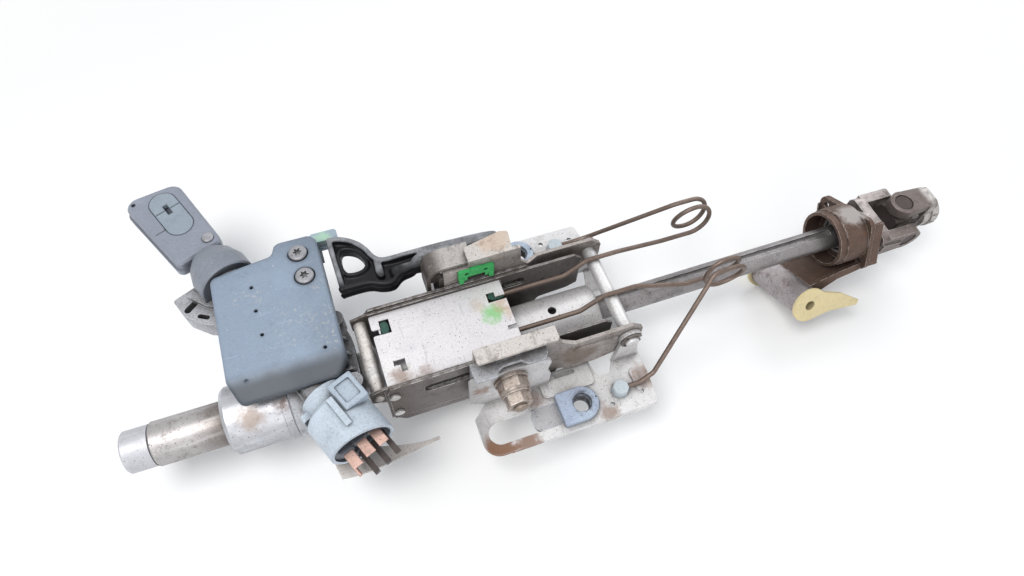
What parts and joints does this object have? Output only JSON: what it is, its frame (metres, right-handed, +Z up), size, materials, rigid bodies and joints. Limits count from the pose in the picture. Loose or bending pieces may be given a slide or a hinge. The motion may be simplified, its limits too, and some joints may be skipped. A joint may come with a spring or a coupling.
{
  "type": "steering column",
  "caption": "Adjustable steering column with breakaway ears, tilt and reach clamp lever, key lock with folding key, ignition switch, support springs, telescoping shaft and universal joint.",
  "frame": {"origin": "midway between the two mounting bolts, on the underside of the ears as the part lies", "axes": "+X along the column from the steering wheel end towards the universal joint, +Z up as the part lies (down in the vehicle), +Y towards the clamp lever side"},
  "size_m": [0.653, 0.2662, 0.1257],
  "materials": {
    "bracket_steel": "zinc-plated sheet steel, dull",
    "frame_steel": "phosphated sheet steel",
    "rail_steel": "worn greased steel",
    "bright_steel": "ground bright steel",
    "dark_steel": "dark tube steel",
    "rusty_steel": "steel with rust",
    "spring_wire": "oiled spring wire",
    "cast_alloy": "die-cast alloy",
    "slate_plastic": "moulded cover",
    "dark_plastic": "dark moulded plastic",
    "lever_plastic": "black coated metal",
    "button_plastic": "moulded buttons",
    "pale_plastic": "pale moulded plastic",
    "yellow_nylon": "yellow bush plastic",
    "green_plastic": "green clip",
    "copper": "copper alloy contacts",
    "brass": "brass"
  },
  "bodies": {
    "bracket": {"mounting_bracket": "bracket_steel", "spring_caps": "pale_plastic"},
    "capsule_near": {"capsule_near": "cast_alloy"},
    "capsule_far": {"capsule_far": "cast_alloy"},
    "swing": {"swing_frame": "frame_steel", "pivot_rod": "bright_steel", "rod_clips": "dark_steel", "cable_clip": "green_plastic", "clamp_block": "cast_alloy", "clamp_hood": "bracket_steel", "clamp_bolt": "bright_steel", "clamp_washers": "rusty_steel", "clamp_nuts": "rusty_steel", "cam_fixed": "dark_steel", "spring_near": "spring_wire", "spring_far": "spring_wire"},
    "lever": {"adjusting_lever": "lever_plastic", "cam_moving": "dark_steel"},
    "column": {"inner_rail": "rail_steel", "slide_lamellas": "rail_steel", "lamella_pins": "bright_steel", "label_plate": "bright_steel", "front_rod": "rusty_steel", "jacket_tube": "bright_steel", "column_tube": "dark_steel", "collar_sleeve": "bright_steel", "lock_housing": "cast_alloy", "cover": "slate_plastic", "cover_screws": "bright_steel", "latch_tab": "pale_plastic", "lock_bezel": "dark_plastic", "switch_housing": "pale_plastic", "switch_cap": "pale_plastic", "contact_carrier": "dark_plastic", "contact_blades": "copper", "contact_prongs": "dark_steel", "guard_plate": "bright_steel", "upper_bearing_outer": "bright_steel", "rear_bush": "pale_plastic"},
    "shaft": {"upper_shaft": "dark_steel", "wheel_sleeve": "bright_steel", "lock_ring": "dark_steel", "upper_bearing_inner": "bright_steel"},
    "steering_lock": {"lock_bolt": "bright_steel"},
    "rotor": {"lock_cylinder": "brass", "switch_rotor": "dark_plastic"},
    "key": {"key_blade": "bright_steel", "key_case_back": "dark_plastic", "key_case_top": "dark_plastic"},
    "key_button_lock": {"lock_button": "button_plastic"},
    "key_button_unlock": {"unlock_button": "button_plastic"},
    "key_button_flip": {"flip_button": "bright_steel"},
    "lower_bracket": {"bearing_housing": "bracket_steel", "lower_bearing": "bright_steel", "pivot_tube": "rail_steel", "pivot_bushes": "yellow_nylon"},
    "intermediate": {"lower_shaft": "bright_steel", "lower_yoke": "cast_alloy"},
    "cross": {"joint_cross": "dark_steel"},
    "outer": {"outer_yoke": "bright_steel"}
  },
  "joints": [
    {"name": "capsule_near_slip", "type": "slide", "parent": "bracket", "child": "capsule_near", "axis": [-1, 0, 0], "range_m": [0, 0.024]},
    {"name": "capsule_far_slip", "type": "slide", "parent": "bracket", "child": "capsule_far", "axis": [-1, 0, 0], "range_m": [0, 0.024]},
    {"name": "tilt", "type": "hinge", "parent": "bracket", "child": "swing", "pos_m": [0.044, 0, 0.036], "axis": [0, 1, 0], "range_deg": [-3, 3]},
    {"name": "clamp_lever", "type": "hinge", "parent": "swing", "child": "lever", "pos_m": [-0.047, 0.0565, 0.036], "axis": [0, 1, 0], "range_deg": [0, 30]},
    {"name": "reach", "type": "slide", "parent": "swing", "child": "column", "axis": [1, 0, 0], "range_m": [-0.03, 0.004]},
    {"name": "steering", "type": "hinge", "parent": "column", "child": "shaft", "pos_m": [-0.2, 0, 0.01], "axis": [1, 0, 0], "continuous": true},
    {"name": "lock_bolt_drop", "type": "slide", "parent": "column", "child": "steering_lock", "axis": [0, 0, -1], "range_m": [0, 0.0032]},
    {"name": "key_turn", "type": "hinge", "parent": "column", "child": "rotor", "pos_m": [-0.163, -0.03, 0.043], "axis": [-0.3907, 0.9205, 0], "range_deg": [0, 90]},
    {"name": "key_withdraw", "type": "slide", "parent": "rotor", "child": "key", "axis": [-0.3907, 0.9205, 0], "range_m": [0, 0.04]},
    {"name": "press_lock", "type": "slide", "parent": "key", "child": "key_button_lock", "axis": [0, 0, -1], "range_m": [0, 0.0008], "stiffness_N_per_m": 400, "springref_m": -0.001},
    {"name": "press_unlock", "type": "slide", "parent": "key", "child": "key_button_unlock", "axis": [0, 0, -1], "range_m": [0, 0.0008], "stiffness_N_per_m": 400, "springref_m": -0.001},
    {"name": "press_flip", "type": "slide", "parent": "key", "child": "key_button_flip", "axis": [0, 0, -1], "range_m": [0, 0.0014], "stiffness_N_per_m": 400, "springref_m": -0.001},
    {"name": "telescope", "type": "slide", "parent": "column", "child": "lower_bracket", "axis": [1, 0, 0], "range_m": [-0.004, 0.03]},
    {"name": "lower_spin", "type": "hinge", "parent": "lower_bracket", "child": "intermediate", "pos_m": [0.259, 0, 0.01], "axis": [1, 0, 0], "continuous": true},
    {"name": "joint_y", "type": "hinge", "parent": "intermediate", "child": "cross", "pos_m": [0.312, 0, 0.01], "axis": [0, 1, 0], "range_deg": [-20, 20]},
    {"name": "joint_z", "type": "hinge", "parent": "cross", "child": "outer", "pos_m": [0.312, 0, 0.01], "axis": [0, 0, 1], "range_deg": [-20, 20]}
  ],
  "couplings": [
    {"joint": "capsule_far_slip", "follows": "capsule_near_slip", "ratio": 1},
    {"joint": "lock_bolt_drop", "follows": "key_withdraw", "ratio": 0.08},
    {"joint": "telescope", "follows": "reach", "ratio": -1},
    {"joint": "lower_spin", "follows": "steering", "ratio": 1}
  ]
}
